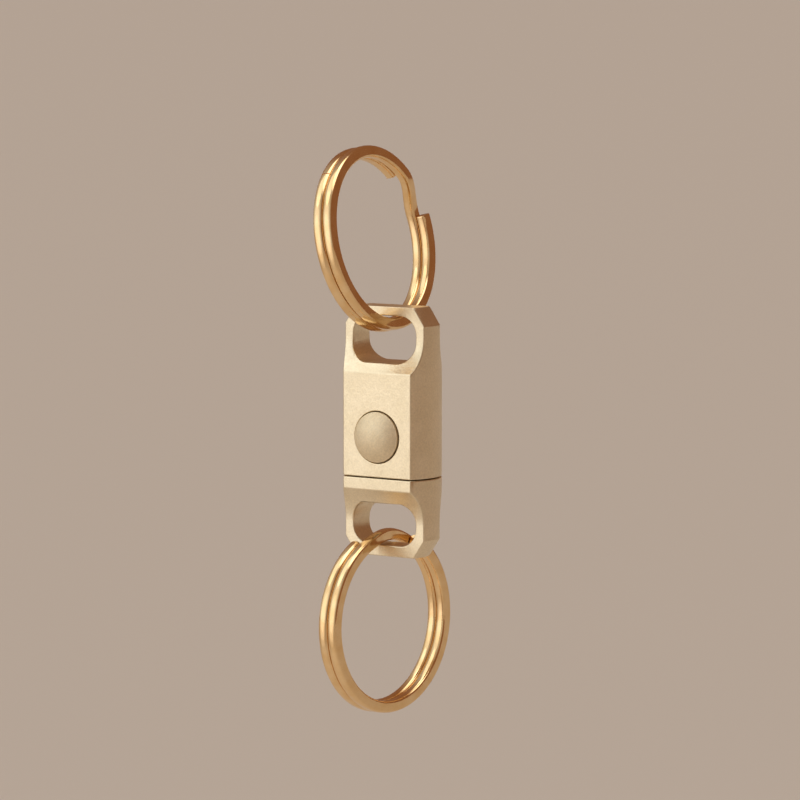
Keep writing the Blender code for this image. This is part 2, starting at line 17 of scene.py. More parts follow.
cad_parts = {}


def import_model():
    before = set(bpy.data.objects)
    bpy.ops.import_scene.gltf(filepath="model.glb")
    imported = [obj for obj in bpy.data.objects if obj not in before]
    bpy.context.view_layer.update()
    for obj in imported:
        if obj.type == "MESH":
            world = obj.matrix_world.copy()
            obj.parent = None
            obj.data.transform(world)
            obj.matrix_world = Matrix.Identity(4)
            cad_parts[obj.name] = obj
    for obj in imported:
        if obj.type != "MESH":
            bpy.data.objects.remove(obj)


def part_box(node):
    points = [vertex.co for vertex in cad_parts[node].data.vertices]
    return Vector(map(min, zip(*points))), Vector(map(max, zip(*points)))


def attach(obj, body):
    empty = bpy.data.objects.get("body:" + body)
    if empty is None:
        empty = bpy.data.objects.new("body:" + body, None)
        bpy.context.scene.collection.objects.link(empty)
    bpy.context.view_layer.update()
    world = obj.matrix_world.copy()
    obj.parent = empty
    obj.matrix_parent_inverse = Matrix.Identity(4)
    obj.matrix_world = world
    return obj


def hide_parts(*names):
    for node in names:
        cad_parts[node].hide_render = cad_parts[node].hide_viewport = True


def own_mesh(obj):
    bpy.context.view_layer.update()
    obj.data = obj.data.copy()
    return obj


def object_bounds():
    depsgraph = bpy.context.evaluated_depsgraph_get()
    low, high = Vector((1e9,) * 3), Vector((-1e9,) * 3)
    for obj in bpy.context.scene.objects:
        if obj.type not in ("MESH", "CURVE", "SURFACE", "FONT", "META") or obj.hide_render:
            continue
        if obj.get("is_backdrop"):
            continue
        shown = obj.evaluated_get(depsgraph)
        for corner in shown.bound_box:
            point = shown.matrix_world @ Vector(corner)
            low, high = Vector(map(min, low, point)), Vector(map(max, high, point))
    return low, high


LOG = logging.getLogger("key_clip")
MM = 0.001
MERGE = 0.0005 * MM
OVERRUN = 1.0 * MM
SHARP = math.radians(20)
SHADED_SHARP = math.radians(32)
NOISE_MIDDLE = (0.3, 0.7)
PATCH_EDGES = (0.35, 0.65)
WAVE_STEP = 20

Pair = tuple[float, float]
Triple = tuple[float, float, float]
Piece = bpy.types.Object
Socket = bpy.types.NodeSocket


class Slot(Enum):
    """The record's material slots."""

    BRASS = "satin_brass"
    GOLD = "polished_gold"
    STEEL = "steel"


class Cut(Enum):
    """How a cutter acts on the piece."""

    AWAY = "DIFFERENCE"
    DOWN_TO = "INTERSECT"


# Finishes


class Nodes:
    """A short way to lay out the nodes of a material or of the room."""

    def __init__(self, owner: bpy.types.Material | bpy.types.World) -> None:
        """Starts with the nodes that a new owner has.

        Args:
            owner: The new material or world.
        """
        owner.use_nodes = True
        self.owner = owner
        self.tree = owner.node_tree

    @property
    def shader(self) -> bpy.types.Node:
        """The Principled shader that a material starts with."""
        return self.tree.nodes["Principled BSDF"]

    def add(self, kind: str, **settings: object) -> bpy.types.Node:
        """Adds a node.

        Args:
            kind: The node's type name.
            settings: Its properties, and its inputs where the name starts with in_.

        Returns:
            The node.
        """
        node = self.tree.nodes.new(kind)
        for key, value in settings.items():
            if key.startswith("in_"):
                node.inputs[key[3:].replace("_", " ").title()].default_value = value
            else:
                setattr(node, key, value)
        return node

    def link(self, source: Socket, target: Socket) -> None:
        """Joins two sockets."""
        self.tree.links.new(source, target)

    def noise(self, where: Socket, grain: float, detail: float) -> Socket:
        """Adds a noise whose features are about one grain across.

        Args:
            where: The coordinates that it reads.
            grain: The size of a feature, in metres.
            detail: How many finer layers it has.

        Returns:
            The noise's factor.
        """
        node = self.add("ShaderNodeTexNoise", in_scale=1 / grain, in_detail=detail)
        self.link(where, node.inputs["Vector"])
        return node.outputs["Fac"]

    def spread(self, factor: Socket, low: float, high: float) -> Socket:
        """Stretches the middle of a noise over a range of values.

        Args:
            factor: The noise.
            low: The value at the low side of its middle.
            high: The value at the high side.

        Returns:
            The value.
        """
        first, last = NOISE_MIDDLE
        ends = {"in_from_min": first, "in_from_max": last, "in_to_min": low, "in_to_max": high}
        node = self.add("ShaderNodeMapRange", **ends)
        self.link(factor, node.inputs["Value"])
        return node.outputs["Result"]

    def ramp(self, factor: Socket, dark: Triple, light: Triple) -> Socket:
        """Turns a noise into patches of two colours that run into each other.

        Args:
            factor: The noise.
            dark: The colour where it is low.
            light: The colour where it is high.

        Returns:
            The colour.
        """
        node = self.add("ShaderNodeValToRGB")
        for step, place, colour in zip(node.color_ramp.elements, PATCH_EDGES, (dark, light)):
            step.position = place
            step.color = (*colour, 1.0)
        self.link(factor, node.inputs["Fac"])
        return node.outputs["Color"]

    def bump(self, height: Socket, strength: float, depth: float) -> Socket:
        """Adds relief.

        Args:
            height: The relief's height, from 0 to 1.
            strength: How much of it shows.
            depth: The height that 1 stands for, in metres.

        Returns:
            The new normal.
        """
        node = self.add("ShaderNodeBump", in_strength=strength, in_distance=depth)
        self.link(height, node.inputs["Height"])
        return node.outputs["Normal"]


@dataclass(frozen=True)
class BlastedBrass:
    """Pale brass with a fine blasted grain, as on the bar, the button and their broken edges."""

    name: str
    light: Triple
    dark: Triple
    smooth: float
    rough: float
    grain: float = 0.2 * MM
    relief: float = 0.03 * MM
    grain_shows: float = 0.7
    patch: float = 3.0 * MM
    speckle: Pair = (0.93, 1.05)
    patch_detail: float = 4.0
    grain_detail: float = 2.0
    wear_detail: float = 3.0
    wear_finer: float = 5.0

    def build(self) -> bpy.types.Material:
        """Makes the material.

        Returns:
            The material.
        """
        nodes = Nodes(bpy.data.materials.new(self.name))
        nodes.shader.inputs["Metallic"].default_value = 1.0
        where = nodes.add("ShaderNodeTexCoord").outputs["Object"]
        patches = nodes.noise(where, self.patch, self.patch_detail)
        colour = nodes.ramp(patches, self.dark, self.light)
        grain = nodes.noise(where, self.grain, self.grain_detail)
        speckled = nodes.add("ShaderNodeVectorMath", operation="SCALE")
        nodes.link(colour, speckled.inputs[0])
        nodes.link(nodes.spread(grain, *self.speckle), speckled.inputs["Scale"])
        nodes.link(speckled.outputs["Vector"], nodes.shader.inputs["Base Color"])
        wear = nodes.noise(where, self.patch / self.wear_finer, self.wear_detail)
        nodes.link(nodes.spread(wear, self.smooth, self.rough), nodes.shader.inputs["Roughness"])
        normal = nodes.bump(grain, self.grain_shows, self.relief)
        nodes.link(normal, nodes.shader.inputs["Normal"])
        return nodes.owner


@dataclass(frozen=True)
class DrawnWire:
    """Polished wire with faint drawing lines that run round the ring's axis."""

    name: str
    centre: Triple
    turn: Triple
    light: Triple = (0.92, 0.67, 0.37)
    dark: Triple = (0.86, 0.58, 0.28)
    smooth: float = 0.09
    rough: float = 0.17
    line: float = 0.14 * MM
    relief: float = 0.002 * MM
    lines_show: float = 0.3
    line_detail: float = 2.0
    waver: float = 3.0
    patch: float = 1.6 * MM
    patch_detail: float = 3.0
    scuff_detail: float = 4.0
    scuff_finer: float = 6.0

    def build(self) -> bpy.types.Material:
        """Makes the material.

        Returns:
            The material.
        """
        nodes = Nodes(bpy.data.materials.new(self.name))
        nodes.shader.inputs["Metallic"].default_value = 1.0
        where = nodes.add("ShaderNodeTexCoord").outputs["Object"]
        patches = nodes.noise(where, self.patch, self.patch_detail)
        colour = nodes.ramp(patches, self.dark, self.light)
        nodes.link(colour, nodes.shader.inputs["Base Color"])
        scuffs = nodes.noise(where, self.patch / self.scuff_finer, self.scuff_detail)
        nodes.link(nodes.spread(scuffs, self.smooth, self.rough), nodes.shader.inputs["Roughness"])
        own = nodes.add("ShaderNodeMapping", vector_type="TEXTURE")
        own.inputs["Location"].default_value = self.centre
        own.inputs["Rotation"].default_value = self.turn
        nodes.link(where, own.inputs["Vector"])
        lines = nodes.add(
            "ShaderNodeTexWave",
            wave_type="RINGS",
            rings_direction="X",
            in_scale=math.tau / (WAVE_STEP * self.line),
            in_distortion=self.waver,
            in_detail=self.line_detail,
        )
        nodes.link(own.outputs["Vector"], lines.inputs["Vector"])
        normal = nodes.bump(lines.outputs["Fac"], self.lines_show, self.relief)
        nodes.link(normal, nodes.shader.inputs["Normal"])
        return nodes.owner


# Modelling


class Bench:
    """The modelling moves that the sub-assemblies share."""

    @staticmethod
    def clear() -> None:
        """Goes to object mode with nothing selected."""
        if bpy.context.mode != "OBJECT":
            bpy.ops.object.mode_set(mode="OBJECT")
        bpy.ops.object.select_all(action="DESELECT")

    @staticmethod
    def work_on(piece: Piece) -> None:
        """Makes the piece the only one selected.

        Args:
            piece: The piece.
        """
        Bench.clear()
        piece.select_set(True)
        bpy.context.view_layer.objects.active = piece

    @staticmethod
    def outline(name: str, points: list[Vector], filled: bool) -> Piece:
        """Draws a closed outline.

        Args:
            name: The object's name.
            points: Its corners in order.
            filled: Whether it has a face.

        Returns:
            The outline.
        """
        Bench.clear()
        fill = "NGON" if filled else "NOTHING"
        bpy.ops.mesh.primitive_circle_add(vertices=len(points), radius=MM, fill_type=fill)
        drawn = bpy.context.object
        drawn.name = drawn.data.name = name
        for vertex, point in zip(drawn.data.vertices, points):
            vertex.co = point
        return drawn

    @staticmethod
    def prism(name: str, points: list[Vector], reach: Vector) -> Piece:
        """Extrudes a filled outline.

        Args:
            name: The object's name.
            points: The outline's corners, on the side where it starts.
            reach: How far and which way it is extruded.

        Returns:
            The closed solid.
        """
        made = Bench.outline(name, points, True)
        bpy.ops.object.mode_set(mode="EDIT")
        bpy.ops.mesh.select_all(action="SELECT")
        bpy.ops.mesh.extrude_region_move(TRANSFORM_OT_translate={"value": reach})
        bpy.ops.mesh.select_all(action="SELECT")
        bpy.ops.mesh.normals_make_consistent(inside=False)
        bpy.ops.object.mode_set(mode="OBJECT")
        return made

    @staticmethod
    def turned(name: str, profile: list[Pair], sides: int) -> Piece:
        """Spins a profile round the Z axis.

        Args:
            name: The object's name.
            profile: Radius and height of each corner, starting and ending on the axis.
            sides: How many steps the spin takes.

        Returns:
            The closed solid.
        """
        made = Bench.outline(name, [Vector((r, 0, z)) for r, z in profile], False)
        bpy.ops.object.mode_set(mode="EDIT")
        bpy.ops.mesh.select_all(action="SELECT")
        bpy.ops.mesh.spin(steps=sides, angle=math.tau, center=(0, 0, 0), axis=(0, 0, 1))
        Bench.close()
        return made

    @staticmethod
    def close() -> None:
        """Merges double points, turns the faces outwards and leaves edit mode."""
        bpy.ops.mesh.select_all(action="SELECT")
        bpy.ops.mesh.remove_doubles(threshold=MERGE)
        bpy.ops.mesh.normals_make_consistent(inside=False)
        bpy.ops.object.mode_set(mode="OBJECT")

    @staticmethod
    def whole_ends(piece: Piece) -> None:
        """Makes one face of each flat end of a turned piece, so that it shades evenly.

        Args:
            piece: The piece, turned round Z.
        """
        Bench.work_on(piece)
        bpy.ops.object.mode_set(mode="EDIT")
        bpy.ops.mesh.select_all(action="DESELECT")
        bpy.ops.object.mode_set(mode="OBJECT")
        for vertex in piece.data.vertices:
            vertex.select = math.hypot(vertex.co.x, vertex.co.y) < MERGE
        bpy.ops.object.mode_set(mode="EDIT")
        bpy.ops.mesh.dissolve_verts()
        bpy.ops.object.mode_set(mode="OBJECT")

    @staticmethod
    def cut(piece: Piece, cutter: Piece, way: Cut = Cut.AWAY) -> None:
        """Cuts a piece.

        Args:
            piece: The piece.
            cutter: The solid that cuts it, which is used up.
            way: Whether the cutter is taken away or is all that stays.
        """
        step = piece.modifiers.new("cut", "BOOLEAN")
        step.operation = way.value
        step.solver = "EXACT"
        step.object = cutter
        Bench.work_on(piece)
        bpy.ops.object.modifier_apply(modifier=step.name)
        bpy.data.objects.remove(cutter, do_unlink=True)

    @staticmethod
    def break_edges(piece: Piece, width: float, share: Callable[[Vector], float], segments: int = 3) -> None:
        """Rounds the sharp edges, and gives the new faces the piece's second material.

        Args:
            piece: The piece, still in the clip's coordinates.
            width: The widest break.
            share: The share of that width for an edge with this middle point.
            segments: How many faces go round each edge.
        """
        Bench.dress(piece, None, None)
        mesh = piece.data
        sharp = Bench.sharp_edges(mesh)
        weights = mesh.attributes.new("bevel_weight_edge", "FLOAT", "EDGE")
        for edge in mesh.edges:
            ends = [mesh.vertices[index].co for index in edge.vertices]
            middle = (ends[0] + ends[1]) / 2
            weights.data[edge.index].value = share(middle) if edge.index in sharp else 0.0
        step = piece.modifiers.new("edges", "BEVEL")
        step.limit_method = "WEIGHT"
        step.width = width
        step.segments = segments
        step.use_clamp_overlap = False
        step.material = 1
        step.miter_outer = "MITER_SHARP"
        Bench.work_on(piece)
        bpy.ops.object.modifier_apply(modifier=step.name)

    @staticmethod
    def sharp_edges(mesh: bpy.types.Mesh) -> set[int]:
        """Finds the sharp edges.

        Args:
            mesh: The mesh.

        Returns:
            The numbers of the edges where two faces turn by more than the sharp angle.
        """
        normals: dict[tuple[int, int], list[Vector]] = {}
        for face in mesh.polygons:
            for key in face.edge_keys:
                normals.setdefault(key, []).append(face.normal)
        found = set()
        for edge in mesh.edges:
            beside = normals.get(edge.key, [])
            if len(beside) == 2 and beside[0].angle(beside[1], 0) > SHARP:
                found.add(edge.index)
        return found

    @staticmethod
    def smooth(piece: Piece) -> None:
        """Shades a piece smooth, with its flats kept flat.

        Args:
            piece: The piece.
        """
        Bench.work_on(piece)
        bpy.ops.object.shade_smooth_by_angle(angle=SHADED_SHARP)
        step = piece.modifiers.new("flats", "WEIGHTED_NORMAL")
        step.keep_sharp = True
        bpy.ops.object.modifier_apply(modifier=step.name)

    @staticmethod
    def dress(piece: Piece, *materials: bpy.types.Material | None) -> None:
        """Gives a piece its materials.

        Args:
            piece: The piece.
            materials: Its materials in order, None for a place that is filled later.
        """
        piece.data.materials.clear()
        for material in materials:
            piece.data.materials.append(material)

    @staticmethod
    def install(piece: Piece, origin: Vector, node: str, body: str, slot: Slot) -> None:
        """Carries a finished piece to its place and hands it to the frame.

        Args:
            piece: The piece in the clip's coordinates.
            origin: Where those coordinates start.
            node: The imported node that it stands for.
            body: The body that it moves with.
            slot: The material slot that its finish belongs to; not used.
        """
        piece.data.transform(piece.matrix_world)
        piece.matrix_world = Matrix.Identity(4)
        piece.data.transform(Matrix.Translation(origin))
        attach(piece, body)
        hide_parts(node)
        LOG.info("%s: %d faces, rides on %s", piece.name, len(piece.data.polygons), body)


def arc(centre: Pair, radius: float, start: float, stop: float, steps: int) -> list[Pair]:
    """Points along an arc.

    Args:
        centre: The arc's centre.
        radius: Its radius.
        start: The first angle, in radians.
        stop: The last angle.
        steps: How many equal steps lie between them.

    Returns:
        The points, both ends counted.
    """
    points = []
    for step in range(steps + 1):
        angle = start + (stop - start) * step / steps
        points.append((centre[0] + radius * math.cos(angle), centre[1] + radius * math.sin(angle)))
    return points


def slot_outline(radius: float, near: float, far: float, steps: int) -> list[Pair]:
    """Points round a hole stretched along Y, between the centres of its front and back ends."""
    back = arc((0, far), radius, 0, math.pi, steps)
    return back + arc((0, near), radius, math.pi, math.tau, steps)


# Sub-assemblies


@dataclass(frozen=True)
class Latch:
    """The sizes that the button, the plug and their bores share."""

    button_height: float = 4.38 * MM
    button_radius: float = 2.75 * MM
    button_clearance: float = 0.1 * MM
    bore_back: float = 2.5 * MM
    travel: float = 0.45 * MM
    lip: float = 0.9 * MM
    plug_radius: float = 1.25 * MM
    running: float = 0.08 * MM
    groove_clearance: float = 0.1 * MM
    plug_land: float = 0.4 * MM
    plug_nose: float = 0.95 * MM
    pin_radius: float = 0.5 * MM
    pin_offset: float = 2.55 * MM
    pin_low: float = 0.4 * MM
    pin_high: float = 7.73 * MM
    pin_clearance: float = 0.05 * MM

    @property
    def lip_hole(self) -> float:
        """The radius of the hole that the plug passes through."""
        return self.plug_radius + self.running

    @property
    def head_low(self) -> float:
        """The underside of the plug's head."""
        return self.button_height + self.lip / 2 + self.groove_clearance

    @property
    def tip(self) -> float:
        """The top of the plug."""
        return self.head_low + self.plug_land + self.plug_nose


@dataclass
class MilledHalf:
    """One half of the bar: two flats, hollows down to a thin tab, and the tab's eye."""

    node: str
    body: str
    near: float
    line: float
    far: float
    eye_low: float
    eye_high: float
    bar_radius: float = 5.35 * MM
    half_flat: float = 3.1 * MM
    half_tab: float = 1.6 * MM
    scoop: float = 3.8 * MM
    chamfer_across: float = 1.27 * MM
    chamfer_along: float = 1.95 * MM
    eye_half: float = 4.05 * MM
    eye_corner: float = 2.1 * MM
    edge: float = 0.11 * MM
    eye_edge: float = 0.14 * MM
    sides: int = 90
    scoop_steps: int = 12
    eye_steps: int = 10

    @property
    def way(self) -> int:
        """1 where the half runs up from the parting face, and -1 where it runs down."""
        return 1 if self.far > self.near else -1

    def bar(self) -> Piece:
        """Turns the round bar with its end chamfer.

        Returns:
            The bar.
        """
        shoulder = self.far - self.way * self.chamfer_along
        profile = [
            (0, self.far),
            (self.bar_radius - self.chamfer_across, self.far),
            (self.bar_radius, shoulder),
            (self.bar_radius, self.near),
            (0, self.near),
        ]
        bar = Bench.turned(self.node + "_shape", profile, self.sides)
        Bench.whole_ends(bar)
        return bar

    def side_view(self) -> list[Pair]:
        """Draws the half from the side.

        Returns:
            The outline in Y and Z, past both the half's ends.
        """
        depth = self.half_flat - self.half_tab
        radius = (self.scoop**2 + depth**2) / (2 * depth)
        sweep = math.asin(self.scoop / radius)
        tangent = self.line + self.way * self.scoop
        side = [(self.half_flat, self.near - self.way * OVERRUN)]
        for step in range(self.scoop_steps + 1):
            angle = sweep * (1 - step / self.scoop_steps)
            across = self.half_tab + radius * (1 - math.cos(angle))
            side.append((across, tangent - self.way * radius * math.sin(angle)))
        side.append((self.half_tab, self.far + self.way * OVERRUN))
        return side + [(-across, height) for across, height in reversed(side)]

    def eye_view(self) -> list[Pair]:
        """Draws the eye from the front.

        Returns:
            The outline in X and Z.
        """
        across = self.eye_half - self.eye_corner
        low, high = self.eye_low + self.eye_corner, self.eye_high - self.eye_corner
        corners = ((across, high), (-across, high), (-across, low), (across, low))
        points = []
        for quarter, corner in enumerate(corners):
            start = quarter * math.pi / 2
            points += arc(corner, self.eye_corner, start, start + math.pi / 2, self.eye_steps)
        return points

    def on_eye(self, point: Vector) -> bool:
        """Tells the eye's wall from the rest.

        Args:
            point: A point of the half.

        Returns:
            Whether it lies on the eye's wall.
        """
        across = max(abs(point.x) - (self.eye_half - self.eye_corner), 0)
        low, high = self.eye_low + self.eye_corner, self.eye_high - self.eye_corner
        along = max(low - point.z, point.z - high, 0)
        if across and along:
            away = abs(math.hypot(across, along) - self.eye_corner)
        else:
            away = abs(max(across, along) - self.eye_corner)
        return away < self.edge / 2

    def edge_share(self, middle: Vector) -> float:
        """Says how wide an edge is broken.

        Args:
            middle: The edge's middle.

        Returns:
            The width as a share of the eye's break, and 0 inside the parting face.
        """
        if self.on_eye(middle):
            return 1.0
        parting = abs(middle.z - self.near) < self.edge
        inside = parting and math.hypot(middle.x, middle.y) < self.half_flat
        return 0.0 if inside else self.edge / self.eye_edge

    def shape(self) -> Piece:
        """Models the half with its eye, its edges still sharp.

        Returns:
            The piece.
        """
        half = self.bar()
        reach = 2 * (self.bar_radius + OVERRUN)
        view = [Vector((-reach / 2, y, z)) for y, z in self.side_view()]
        Bench.cut(half, Bench.prism("flats", view, Vector((reach, 0, 0))), Cut.DOWN_TO)
        view = [Vector((x, -reach / 2, z)) for x, z in self.eye_view()]
        Bench.cut(half, Bench.prism("eye", view, Vector((0, reach, 0))))
        return half


@dataclass
class UpperBody(MilledHalf):
    """The upper half, with the button's bore, the plug's bore and the pin's hole."""

    node: str = "upper_body"
    body: str = "upper_half"
    near: float = 0.0
    line: float = 11.35 * MM
    far: float = 18.45 * MM
    eye_low: float = 12.37 * MM
    eye_high: float = 17.47 * MM
    bore_above_tip: float = 0.3 * MM
    bore_sides: int = 96
    latch: Latch = Latch()

    def hole(self, radius: float, low: float, high: float, x: float = 0.0) -> Piece:
        """Makes a cutter for an upright round hole.

        Args:
            radius: The hole's radius.
            low: Its lower end.
            high: Its upper end.
            x: How far it stands to the side.

        Returns:
            The cutter.
        """
        profile = [(0, high), (radius, high), (radius, low), (0, low)]
        cutter = Bench.turned("hole", profile, self.bore_sides)
        cutter.data.transform(Matrix.Translation((x, 0, 0)))
        return cutter

    def build(self) -> Piece:
        """Models the upper half.

        Returns:
            The piece.
        """
        latch = self.latch
        half = self.shape()
        radius = latch.button_radius + latch.button_clearance
        bore = self.hole(radius, -latch.bore_back, self.half_flat + OVERRUN)
        bore.data.transform(Matrix.Rotation(math.pi / 2, 4, "X"))
        bore.data.transform(Matrix.Translation((0, 0, latch.button_height)))
        Bench.cut(half, bore)
        Bench.break_edges(half, self.eye_edge, self.edge_share)
        past = self.near - OVERRUN
        Bench.cut(half, self.hole(latch.lip_hole, past, latch.tip + self.bore_above_tip))
        pin_hole = latch.pin_radius + latch.pin_clearance
        pin_end = latch.pin_high + latch.pin_clearance
        Bench.cut(half, self.hole(pin_hole, past, pin_end, latch.pin_offset))
        Bench.smooth(half)
        return half


@dataclass
class LowerBody(MilledHalf):
    """The lower half, with the stepped seat that the plug is staked in."""

    node: str = "lower_body"
    body: str = "lower_half"
    near: float = -0.12 * MM
    line: float = -1.4 * MM
    far: float = -8.75 * MM
    eye_low: float = -7.55 * MM
    eye_high: float = -2.85 * MM

    def build(self, seat: list[Pair], sides: int) -> Piece:
        """Models the lower half.

        Args:
            seat: Radius and height of the seat's corners, from its top down.
            sides: How many steps the seat has round it.

        Returns:
            The piece.
        """
        half = self.shape()
        Bench.break_edges(half, self.eye_edge, self.edge_share)
        Bench.cut(half, Bench.turned("seat", seat, sides))
        Bench.smooth(half)
        return half


@dataclass
class ReleaseButton:
    """The domed button, its barrel, the slot for the plug and the notch for the pin."""

    node: str = "release_button"
    body: str = "button"
    face: float = -3.1 * MM
    proud: float = 0.15 * MM
    dome: float = 0.85 * MM
    length: float = 5.0 * MM
    rim: float = 0.08 * MM
    slot_step: float = 0.05 * MM
    sides: int = 160
    dome_steps: int = 36
    rim_start: float = math.pi / 3
    rim_steps: int = 4
    arc_steps: int = 32
    latch: Latch = Latch()

    def profile(self) -> list[Pair]:
        """Draws the button about its own axis, its dome upwards and its rim rounded.

        Returns:
            Radius and height from the dome's top to the back.
        """
        radius = self.latch.button_radius
        sphere = (radius**2 + self.dome**2) / (2 * self.dome)
        crown = self.proud + self.dome
        sweep = math.asin((radius - self.rim) / sphere)
        points = []
        for step in range(self.dome_steps + 1):
            angle = sweep * step / self.dome_steps
            points.append((sphere * math.sin(angle), crown - sphere * (1 - math.cos(angle))))
        shoulder = points[-1][1] - self.rim
        points += arc((radius - self.rim, shoulder), self.rim, self.rim_start, 0, self.rim_steps)
        back = self.proud - self.length
        return points + [(radius, back + self.rim), (radius - self.rim, back), (0, back)]

    def slots(self) -> list[Piece]:
        """Makes the cutters for the lip's hole and for the wider slots above and below the lip.

        Returns:
            The three cutters.
        """
        latch = self.latch
        middle, half = latch.button_height, latch.lip / 2
        reach = latch.button_radius + OVERRUN
        wide = latch.lip_hole + self.slot_step
        hole = slot_outline(latch.lip_hole, -latch.travel, -latch.travel, self.arc_steps)
        slot = slot_outline(wide, -latch.travel, 0, self.arc_steps)
        cutters = []
        for outline, low, high in (
            (hole, middle - reach, middle + reach),
            (slot, middle + half, middle + reach),
            (slot, middle - reach, middle - half),
        ):
            points = [Vector((x, y, low)) for x, y in outline]
            cutters.append(Bench.prism("slot", points, Vector((0, 0, high - low))))
        return cutters

    def notch(self) -> Piece:
        """Makes a cutter for the notch that the pin stands in.

        Returns:
            The cutter.
        """
        latch = self.latch
        gap = 2 * latch.pin_clearance
        inner = latch.pin_offset - latch.pin_radius - gap
        outer = latch.button_radius + OVERRUN
        back = latch.pin_radius + gap
        front = -latch.pin_radius - latch.travel - gap
        low = latch.button_height - outer
        corners = ((inner, front), (outer, front), (outer, back), (inner, back))
        points = [Vector((x, y, low)) for x, y in corners]
        return Bench.prism("notch", points, Vector((0, 0, 2 * outer)))

    def build(self) -> Piece:
        """Models the button.

        Returns:
            The piece.
        """
        button = Bench.turned(self.node + "_shape", self.profile(), self.sides)
        button.data.transform(Matrix.Rotation(math.pi / 2, 4, "X"))
        button.data.transform(Matrix.Translation((0, self.face, self.latch.button_height)))
        for cutter in self.slots():
            Bench.cut(button, cutter)
        Bench.cut(button, self.notch())
        Bench.smooth(button)
        return button


@dataclass
class Plug:
    """The staked stud that the button holds by its groove, and the seat that fits it."""

    node: str = "plug"
    body: str = "lower_half"
    groove: float = 0.78 * MM
    nose_flat: float = 0.4 * MM
    collar_radius: float = 2.0 * MM
    collar_high: float = -0.12 * MM
    collar_low: float = -0.72 * MM
    shank: float = 1.0 * MM
    rivet: float = 1.45 * MM
    rivet_low: float = -2.85 * MM
    flare: float = 0.45 * MM
    seat_gap: float = 0.05 * MM
    peen: float = 0.12 * MM
    nose_steps: int = 16
    sides: int = 96
    latch: Latch = Latch()

    def profile(self) -> list[Pair]:
        """Draws the plug.

        Returns:
            Radius and height from the nose down to the peened end.
        """
        latch = self.latch
        base = latch.head_low + latch.plug_land
        radius = latch.plug_radius
        points: list[Pair] = [(0, latch.tip)]
        for step in range(self.nose_steps + 1):
            angle = math.pi / 2 * (1 - step / self.nose_steps)
            across = self.nose_flat + (radius - self.nose_flat) * math.cos(angle)
            points.append((across, base + latch.plug_nose * math.sin(angle)))
        groove_low = latch.button_height - latch.lip / 2 - latch.groove_clearance
        end = self.rivet_low + self.seat_gap
        return points + [
            (radius, latch.head_low),
            (self.groove, latch.head_low),
            (self.groove, groove_low),
            (radius, groove_low),
            (radius, self.collar_high),
            (self.collar_radius, self.collar_high),
            (self.collar_radius, self.collar_low),
            (self.shank, self.collar_low),
            (self.shank, end + self.flare),
            (self.rivet, end),
            (self.rivet - self.peen, end),
            (self.rivet / 2, end + self.peen / 2),
            (0, end + self.peen),
        ]

    def seat(self) -> list[Pair]:
        """Draws the seat in the lower half.

        Returns:
            Radius and height from above the parting face down.
        """
        gap = self.seat_gap
        flare_high = self.rivet_low + self.flare + 2 * gap
        past = self.rivet_low - OVERRUN
        slope = (self.rivet - self.shank) / self.flare
        return [
            (0, OVERRUN),
            (self.collar_radius + gap, OVERRUN),
            (self.collar_radius + gap, self.collar_low - gap),
            (self.shank + gap, self.collar_low - gap),
            (self.shank + gap, flare_high),
            (self.shank + gap + (flare_high - past) * slope, past),
            (0, past),
        ]

    def build(self) -> Piece:
        """Models the plug.

        Returns:
            The piece.
        """
        plug = Bench.turned(self.node + "_shape", self.profile(), self.sides)
        Bench.smooth(plug)
        return plug


@dataclass
class RetainingPin:
    """The dowel beside the plug, its ends chamfered."""

    node: str = "retaining_pin"
    body: str = "upper_half"
    chamfer: float = 0.1 * MM
    sides: int = 64
    latch: Latch = Latch()

    def build(self) -> Piece:
        """Models the pin.

        Returns:
            The piece.
        """
        latch = self.latch
        radius, low, high = latch.pin_radius, latch.pin_low, latch.pin_high
        inner = radius - self.chamfer
        profile = [(0, high), (inner, high), (radius, high - self.chamfer)]
        profile += [(radius, low + self.chamfer), (inner, low), (0, low)]
        pin = Bench.turned(self.node + "_shape", profile, self.sides)
        pin.data.transform(Matrix.Translation((latch.pin_offset, 0, 0)))
        Bench.smooth(pin)
        return pin


class Wire:
    """Solids drawn along a path."""

    @staticmethod
    def curve(name: str, points: list[Vector], outline: bool) -> Piece:
        """Draws a curve of straight steps.

        Args:
            name: The object's name.
            points: Its points in order.
            outline: Whether it is a flat closed outline and not a wire's path.

        Returns:
            The curve.
        """
        curve = bpy.data.curves.new(name, "CURVE")
        curve.dimensions = "2D" if outline else "3D"
        curve.use_fill_caps = not outline
        curve.twist_mode = "Z_UP"
        spline = curve.splines.new("POLY")
        spline.points.add(len(points) - 1)
        for knot, point in zip(spline.points, points):
            knot.co = (*point, 1)
        spline.use_cyclic_u = outline
        drawn = bpy.data.objects.new(name, curve)
        bpy.context.scene.collection.objects.link(drawn)
        return drawn

    @staticmethod
    def solid(drawn: Piece) -> Piece:
        """Makes a drawn wire a closed mesh.

        Args:
            drawn: The curve.

        Returns:
            The mesh.
        """
        Bench.work_on(drawn)
        bpy.ops.object.convert(target="MESH")
        bpy.ops.object.mode_set(mode="EDIT")
        Bench.close()
        return bpy.context.object


